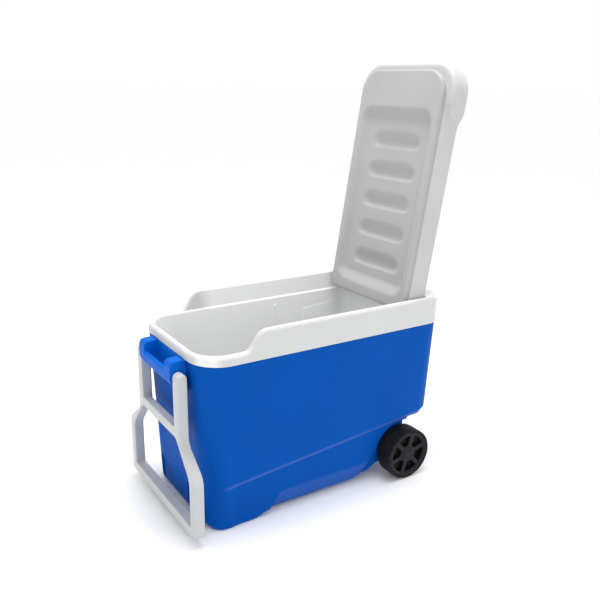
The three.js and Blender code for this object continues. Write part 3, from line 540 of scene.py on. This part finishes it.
def body_outer(x, y, z):
    end = body_end(z)
    side = body_side(z)
    shoulder = 100 + 0.096 * (x + 207)
    step = SHOULDER_STEP * ramp(x, -252, -208) * np.clip((shoulder - z) / SHOULDER_DROP, 0, 1)
    plan = (rounded_rect(x, y, -end, end, side, 54, 45) + step) * 0.9
    shape = both(plan, polygon(x, z, underside_outline()), 3)
    wall = body_side(30) - SHOULDER_STEP
    outline = [(-108, 47), (119, 60), (83, -4), (-151, -4)]
    lean = wall + 1.5 - 16.5 * np.clip((50 - z) / 54, 0, 1.2)
    shape = cut(shape, both(polygon(x, z, outline), (lean - np.abs(y)) * 0.95), 0.6)
    radius = WHEEL_RADIUS + 10
    well = [(84, -20), (94, 17), (117, 56)]
    well += arc_points(AXLE_X, WHEEL_RADIUS, radius, 168, 90, 14)
    well += [(330, WHEEL_RADIUS + radius), (330, -20)]
    shape = cut(shape, both(polygon(x, z, well), WELL_SIDE - np.abs(y), 4), 3)
    toe = both(x + end - 5, np.maximum(z - 70, np.abs(np.abs(y) - 66.5) - 28.5), 1)
    return cut(shape, toe, 1.2)


def build_body():
    axes = [
        spaced((-292, -222, 2.2), (-222, -100, 3.0), (-100, 72, 6), (72, 132, 2), (132, 292, 2.2)),
        mirrored((0, 34, 6), (34, 42, 1.6), (42, 91, 6), (91, 99, 1.6), (99, 117, 3), (117, 150, 1.5)),
        spaced((-2, 34, 1.5), (34, 74, 2), (74, 152, 1.5), (152, 340, 9), (340, 349, 1)),
    ]
    x, y, z = grid(axes)
    shape = both(body_outer(x, y, z), z - (SEAM_Z - 0.3), 1.0)
    shape = cut(shape, tub_space(x, y, z) - FOAM_SPACE)
    add_piece("body", "body", ["body_shell"], "body_blue", BODY_BLUE, *surface(shape, axes))


# ---------------------------------------------------------------- white liner and collar
COLLAR_END = 290.4
COLLAR_SIDE = 151.0
LEDGE_Z = 365.0
TOP_Z = 405.0
LID_BAY_REAR = 243.5


def scoop_outline(shift=0.0):
    low, high = LEDGE_Z, TOP_Z
    curve = bezier((-206 + shift, low), (-178 + shift, low), (-186 + shift, high), (-152 + shift, high))
    return [(-400, 300), (-400, low), *curve, (400, high), (400, 300)]


def build_liner():
    axes = [
        spaced(
            (-293, -225, 1.7), (-225, -140, 1.6), (-140, 14, 7), (14, 40, 1.4),
            (40, 60, 5), (60, 108, 1.6), (108, 200, 7), (200, 293, 1.7),
        ),
        mirrored((0, 72, 7), (72, 112, 2), (112, 153, 1.4)),
        spaced((20, 46, 1.6), (46, 136, 5), (136, 166, 2), (166, 290, 5), (290, 344, 2.5), (344, 408, 1.2)),
    ]
    x, y, z = grid(axes)
    plan = rounded_rect(x, y, -COLLAR_END, COLLAR_END, COLLAR_SIDE, 63, 48)
    collar = both(plan, polygon(x, z, scoop_outline()), 7)
    collar = both(collar, SEAM_Z - z, 1.2)
    tub = tub_space(x, y, z)
    shell = either(collar, both(tub - LINER_WALL, z - LEDGE_Z))
    bay_side = 137 + 2.8 * (z - LEDGE_Z) / 48
    bay = np.maximum(np.maximum(x - LID_BAY_REAR, np.abs(y) - bay_side), LEDGE_Z - z)
    shell = cut(shell, both(bay, -400 - x), 2.2)
    rib = np.maximum(np.abs(x - 28) - 2.5, np.abs(np.abs(y) - 132) - 1.6)
    rib = both(rib, np.abs(z - 322) - 26, 1)
    space = cut(tub, rib, 1.2)
    line = 127.5 + 9 * (z - 365) / 337
    step = np.maximum(np.maximum(105 - x, x - 226), np.abs(np.abs(y) - 137) - (137 - line - 4.2))
    step = both(step, z - (327 + 0.065 * (x - 105)), 1)
    shell = cut(shell, space, 3.2)
    shell = either(shell, both(step, tub), 1.0)
    add_piece("liner", "body", ["inner_liner"], "liner_white", LINER_WHITE, *surface(shell, axes))


# ---------------------------------------------------------------- front bracket
def build_bracket():
    axes = [spaced((-323, -278, 1.0)), mirrored((0, 44, 4), (44, 79, 1.0)), spaced((278, 349, 1.0))]
    x, y, z = grid(axes)
    lug_outline = softened(
        [(-270, 346.2, 0), (-320.2, 346.2, 13), (-320.2, 305, 9), (-304, 289, 8), (-270, 278, 0)]
    )
    lug = both(polygon(x, z, lug_outline), np.abs(np.abs(y) - 63.4) - 13.4, 1.4)
    bar_outline = softened([(-320.2, 325, 4), (-320.2, 303, 6), (-310, 298, 4), (-310, 325, 4)])
    bar = both(polygon(x, z, bar_outline), np.abs(y) - 56)
    plate = both(np.maximum(x + 280, -291 - x), np.maximum(np.abs(y) - 76.8, np.abs(z - 317) - 29.2), 1.5)
    shape = either(either(lug, bar, 1.5), plate, 1.5)
    shape = cut(shape, -(x + body_end(z) + 0.3))
    bore = np.hypot(x - PIVOT_X, z - PIVOT_Z) - 4.3
    shape = cut(shape, both(bore, 60 - np.abs(y)), 0.6)
    add_piece("bracket", "body", ["front_bracket"], "bracket_blue", BRACKET_BLUE, *surface(shape, axes))


# ---------------------------------------------------------------- tow handle
def build_handle():
    axes = [
        spaced((-319.5, -292.5, 1.0)),
        mirrored((0, 70, 3), (70, 163, 1.2)),
        spaced((13, 48, 1.2), (48, 120, 2), (120, 226, 1.2), (226, 300, 3), (300, 329, 1.0)),
    ]
    x, y, z = grid(axes)
    outer = softened(
        [(99.5, 345, 6), (99.5, 188, 16), (161, 142, 18), (161, 16, 14), (-161, 16, 14), (-161, 142, 18),
         (-99.5, 188, 16), (-99.5, 345, 6)]
    )
    notch = softened([(78.5, 400, 0), (78.5, 218, 6), (-78.5, 218, 6), (-78.5, 400, 0)])
    window = softened(
        [(140, 37, 6), (140, 135, 14), (84, 197.5, 6), (-84, 197.5, 6), (-140, 135, 14), (-140, 37, 6)]
    )
    front = np.maximum(polygon(y, z, outer), -polygon(y, z, notch))
    front = np.maximum(front, -polygon(y, z, window))
    depth = np.abs(x - PIVOT_X) - 11.5
    shape = both(front, depth, 2.8)
    crossbar = np.maximum(-300 - x, np.abs(y) - 78)
    crossbar = both(crossbar, np.abs(z - 208) - 20)
    shape = cut(shape, crossbar, 2)
    top = np.hypot(x - PIVOT_X, np.maximum(z - PIVOT_Z, 0)) - 11.5
    shape = both(shape, top, 3)
    groove = both(-306.5 - x, np.abs(z - 250) - 46, 3)
    groove = both(groove, np.abs(np.abs(y) - 89) - 5.5, 2)
    shape = cut(shape, groove, 1.2)
    low = both(-306.5 - x, np.abs(z - 86) - 42, 3)
    low = both(low, np.abs(np.abs(y) - 150.5) - 5.5, 2)
    shape = cut(shape, low, 1.2)
    sole = both(-306.5 - x, np.abs(z - 26.5) - 5.5, 2)
    sole = both(sole, np.abs(y) - 125, 3)
    shape = cut(shape, sole, 1.2)
    boss = np.hypot(x - PIVOT_X, z - PIVOT_Z) - 8.5
    boss = both(boss, np.abs(np.abs(y) - 90) - 10.2, 1.2)
    shape = either(shape, boss, 0.8)
    add_piece("handle", "handle", ["tow_handle"], "handle_white", HANDLE_WHITE, *surface(shape, axes))


# ---------------------------------------------------------------- lid, shaped closed and turned open
LID_UNDER = 365.5
LID_TOP = 410.0
PLUG_UNDER = 353.6
LID_SIDE = 134.0
CAP_SIDE = 149.6
LID_FRONT = -292.4
HEEL_RADIUS = HINGE_Z - LID_UNDER
CAP_SEAM = 389.0  # the side of the cap steps in above this level


def turned_open(points):
    """Points of the closed lid, turned about the hinge to where it rests open."""
    dx, dz = points[:, 0] - HINGE_X, points[:, 2] - HINGE_Z
    cosine, sine = math.cos(OPEN_ANGLE), math.sin(OPEN_ANGLE)
    x = HINGE_X + dx * cosine + dz * sine
    z = HINGE_Z - dx * sine + dz * cosine
    return np.stack([x, points[:, 1], z], 1)


def lid_side_view():
    """The slab from the side: a round heel about the hinge and a soft corner above it."""
    heel = arc_points(HINGE_X, HINGE_Z, HEEL_RADIUS, 270, 370, 16)
    corner = bezier(heel[-1], (HINGE_X + 15, 400), (HINGE_X + 11, LID_TOP), (HINGE_X - 2, LID_TOP), 8)
    return [(-FAR, LID_UNDER), *heel, *corner[1:], (-FAR, LID_TOP)]


def lid_cap(x, y, z, upper):
    """The wide front end of the lid, which narrows to the slab in a smooth slanted curve."""
    start = -222 + 0.5 * (z - LEDGE_Z)
    side = CAP_SIDE - (CAP_SIDE - LID_SIDE + 1) * ramp(x, start, start + 46)
    cap = rounded_rect(x, y, LID_FRONT + 1.2 * upper, 40, side - 1.4 * upper, 62, 6) * 0.92
    cap = both(cap, LID_UNDER - z, 9)
    cap = both(cap, z - LID_TOP, 7)
    away = 1.6
    curve = bezier(
        (-206 - away, LID_UNDER), (-178 - away, LID_UNDER), (-186 - away, TOP_Z), (-152 - away, TOP_Z)
    )
    scoop = [(-400, LID_UNDER - 2), (-206 - away, LID_UNDER - 2), *curve, (-152 - away, 500), (-400, 500)]
    return both(cap, polygon(x, z, scoop), 3)


def build_lid_shell():
    axes = [
        spaced((-294, -140, 1.6), (-140, 170, 8), (170, 232, 1.4)),
        mirrored((0, 92, 8), (92, 151, 1.4)),
        spaced((363, 412, 1.2)),
    ]
    x, y, z = grid(axes)
    upper = ramp(z, CAP_SEAM - 0.8, CAP_SEAM + 0.8)
    slab = rounded_rect(x, y, -262, 300, LID_SIDE, 34, 6)
    slab = both(slab, polygon(x, z, lid_side_view()), 4)
    shape = either(slab, lid_cap(x, y, z, upper), 4)
    field = rounded_rect(x, y, -232, 186, 104, 40, 24)
    shape = np.maximum(shape, z - LID_TOP + 1.6 * ramp(-field, -2, 3))
    hollow = rounded_rect(x, y, HINGE_X - 408, HINGE_X - 16, 115, 34, 34)
    shape = cut(shape, both(hollow, z - 388))
    points, quads = surface(shape, axes)
    add_piece("lid_top", "lid", ["lid_shell"], "lid_white", LID_WHITE, turned_open(points), quads)


def build_lid_panel():
    axes = [
        spaced((-278, -190, 1.8), (-190, 222, 1.8)),
        mirrored((0, 60, 6), (60, 132, 1.6)),
        spaced((351, 388, 1)),
    ]
    x, y, z = grid(axes)
    u = HINGE_X - x
    edge = -rounded_rect(x, y, HINGE_X - 412, HINGE_X - 12, 119, 36, 36)
    sunk = 14.0 * ramp(edge, 0, 27)
    for i in range(5):
        near = u - (78.5 + 66 * i) + 21
        across = ramp(near, 0, 9) * (1 - ramp(near, 12, 43))
        half = 81 - 14 * (np.abs(near - 18) / 24) ** 2
        sunk = sunk + 10.0 * across * ramp(half - np.abs(y), -2, 26)
    under = PLUG_UNDER + sunk
    plug = rounded_rect(x, y, -275, HINGE_X + 8, 129.5, 50, 12)
    shape = both(plug, (under - z) * 0.85, 3.2)
    shape = both(shape, z - np.maximum(374.5, under + 5))
    points, quads = surface(shape, axes)
    opened = turned_open(points)
    add_piece("lid_underside", "lid", ["lid_inner_panel"], "lid_white", LID_WHITE_PAINTED_SHADE, opened, quads)


# ---------------------------------------------------------------- wheels
WHEEL_OUT = 169.4
WHEEL_IN = 126.8
RIM_RADIUS = 50.6
WINDOW_FLOOR = 157.4
SPOKE_ANGLE = 75


def wheel_pieces():
    """Wheel, tyre and hub cap of the left side as (name, axes, distance)."""
    axes = [
        spaced((AXLE_X - 52, AXLE_X + 52, 0.9)),
        spaced((WHEEL_IN - 1, WHEEL_OUT - 20, 3), (WHEEL_OUT - 20, WHEEL_OUT + 1, 0.8)),
        spaced((AXLE_Z - 52, AXLE_Z + 52, 0.9)),
    ]
    x, y, z = grid(axes)
    radius = np.hypot(x - AXLE_X, z - AXLE_Z)
    angle = np.arctan2(z - AXLE_Z, x - AXLE_X)
    rim = both(np.abs(radius - 48.3) - 2.3, np.abs(y - 147.9) - 21.1, 0.9)
    inner_rim = both(np.abs(radius - 44.6) - 1.6, np.abs(y - 150) - 16.6, 0.8)
    web = both(radius - 46.5, np.abs(y - 159.4) - 5.8, 1)
    hub = both(radius - 15, np.abs(y - 148.1) - 20.3, 1.6)
    sector = (angle - math.radians(SPOKE_ANGLE + 30) + math.pi / 6) % (math.pi / 3) - math.pi / 6
    along = radius * np.cos(sector)
    aside = np.abs(radius * np.sin(sector))
    side_wall = (aside - (along - 10) * 0.577) / 1.155
    window = both(side_wall, np.maximum(radius - 43.2, 19.5 - radius), 3)
    wheel = either(either(rim, inner_rim, 0.8), web, 1.2)
    wheel = cut(wheel, both(window, WINDOW_FLOOR - y), 1.3)
    wheel = either(wheel, hub, 2.5)
    pocket = both(radius - 9.6, WHEEL_OUT - 10 - y)
    wheel = cut(wheel, pocket, 0.5)
    wheel = cut(wheel, radius - 5.1, 0.5)
    yield "wheel", axes, wheel

    axes = [
        spaced((AXLE_X - 58, AXLE_X + 58, 1.0)),
        spaced(
            (WHEEL_IN - 1, WHEEL_IN + 6, 1.0), (WHEEL_IN + 6, WHEEL_OUT - 8, 6),
            (WHEEL_OUT - 8, WHEEL_OUT + 1, 0.8),
        ),
        spaced((AXLE_Z - 58, AXLE_Z + 58, 1.0)),
    ]
    x, y, z = grid(axes)
    radius = np.hypot(x - AXLE_X, z - AXLE_Z)
    half = (WHEEL_OUT - WHEEL_IN - 0.5) / 2
    middle = (WHEEL_OUT + WHEEL_IN + 0.5) / 2
    crown = 0.4 * (np.abs(y - middle) / half) ** 2
    tyre = both(radius - WHEEL_RADIUS + crown, np.abs(y - middle) - half, 2.6)
    tyre = cut(tyre, radius - RIM_RADIUS - 0.3, 0.5)
    yield "tyre", axes, tyre

    axes = [
        spaced((AXLE_X - 12, AXLE_X + 12, 0.6)),
        spaced((WHEEL_OUT - 8, WHEEL_OUT + 1, 0.5)),
        spaced((AXLE_Z - 12, AXLE_Z + 12, 0.6)),
    ]
    x, y, z = grid(axes)
    radius = np.hypot(x - AXLE_X, z - AXLE_Z)
    cap = both(radius - 9.2, np.abs(y - WHEEL_OUT + 3) - 3, 1.6)
    yield "hub_cap", axes, cap


def build_wheels():
    finish_of = {"wheel": WHEEL_CHARCOAL, "tyre": TREAD_CHARCOAL, "hub_cap": WHEEL_CHARCOAL}
    slot_of = {"wheel": "wheel_charcoal", "tyre": "tread_charcoal", "hub_cap": "wheel_charcoal"}
    label = {"wheel": "spoked_wheel", "tyre": "tread", "hub_cap": "axle_cap"}
    for kind, axes, distance in wheel_pieces():
        points, quads = surface(distance, axes)
        flipped = points * (1, -1, 1)
        for side, places, faces in (("left", points, quads), ("right", flipped, quads[:, ::-1])):
            add_piece(
                label[kind] + "_" + side,
                "wheel_" + side,
                [kind + "_" + side],
                slot_of[kind],
                finish_of[kind],
                places,
                faces,
            )


build_body()
build_liner()
build_bracket()
build_handle()
build_lid_shell()
build_lid_panel()
build_wheels()

# ---------------------------------------------------------------- CAD pieces that stay
for name, node in frame["nodes"].items():
    if node.hide_render:
        continue
    finish = STEEL
    if name == "foam_fill_plug":
        finish = BODY_BLUE
    elif "foam" in name:
        finish = FOAM
    for material_slot in node.material_slots:
        material_slot.material = finish

# ---------------------------------------------------------------- floor, light and camera
bpy.ops.mesh.primitive_plane_add(size=400, location=(0, 0, -0.0006))
floor = bpy.context.object
floor.name = "floor"
floor_material, floor_tree, floor_shader = node_material("floor_white")
floor_tint = remap(floor_tree, noise(floor_tree, 3), 0.3, 0.7, 0, 1)
floor_tree.links.new(
    mixed(floor_tree, floor_tint, (0.985, 0.985, 0.985), (1.0, 1.0, 1.0)), floor_shader.inputs["Base Color"]
)
floor_shader.inputs["Roughness"].default_value = 0.8
floor.data.materials.append(floor_material)

world = bpy.data.worlds.new("studio")
bpy.context.scene.world = world
world.use_nodes = True
background = world.node_tree.nodes["Background"]
background.inputs["Color"].default_value = (1, 1, 1, 1)
background.inputs["Strength"].default_value = 1.0


def soft_light(name, location, target, size, power):
    data = bpy.data.lights.new(name, "AREA")
    data.shape = "RECTANGLE"
    data.size, data.size_y = size
    data.energy = power
    lamp = bpy.data.objects.new(name, data)
    lamp.location = location
    lamp.rotation_euler = (Vector(target) - Vector(location)).to_track_quat("-Z", "Y").to_euler()
    bpy.context.scene.collection.objects.link(lamp)


soft_light("key", (0.6, -2.4, 1.6), (0, 0, 0.35), (1.8, 1.8), 1.5)
soft_light("side", (0.25, -1.5, 0.75), (0.2, 0, 0.5), (0.5, 0.5), 1.2)
soft_light("top", (0.1, 0.0, 2.2), (0, 0, 0.2), (0.9, 0.9), 28)

camera_data = bpy.data.cameras.new("camera")
camera_data.sensor_width = 36
camera_data.lens = 42.527
camera = bpy.data.objects.new("camera", camera_data)
bpy.context.scene.collection.objects.link(camera)
azimuth, elevation, roll = -0.5793827, 0.293954, 0.0182698
back = Vector(
    (math.sin(azimuth) * math.cos(elevation), -math.cos(azimuth) * math.cos(elevation), math.sin(elevation))
)
right = (-back).cross(Vector((0, 0, 1))).normalized()
up = right.cross(-back)
right_rolled = math.cos(roll) * right + math.sin(roll) * up
up_rolled = -math.sin(roll) * right + math.cos(roll) * up
pose = Matrix((right_rolled, up_rolled, back)).transposed().to_4x4()
pose.translation = (-0.77728, -1.20456, 0.83147)
camera.matrix_world = pose
bpy.context.scene.camera = camera
bpy.context.scene.view_settings.view_transform = "Standard"
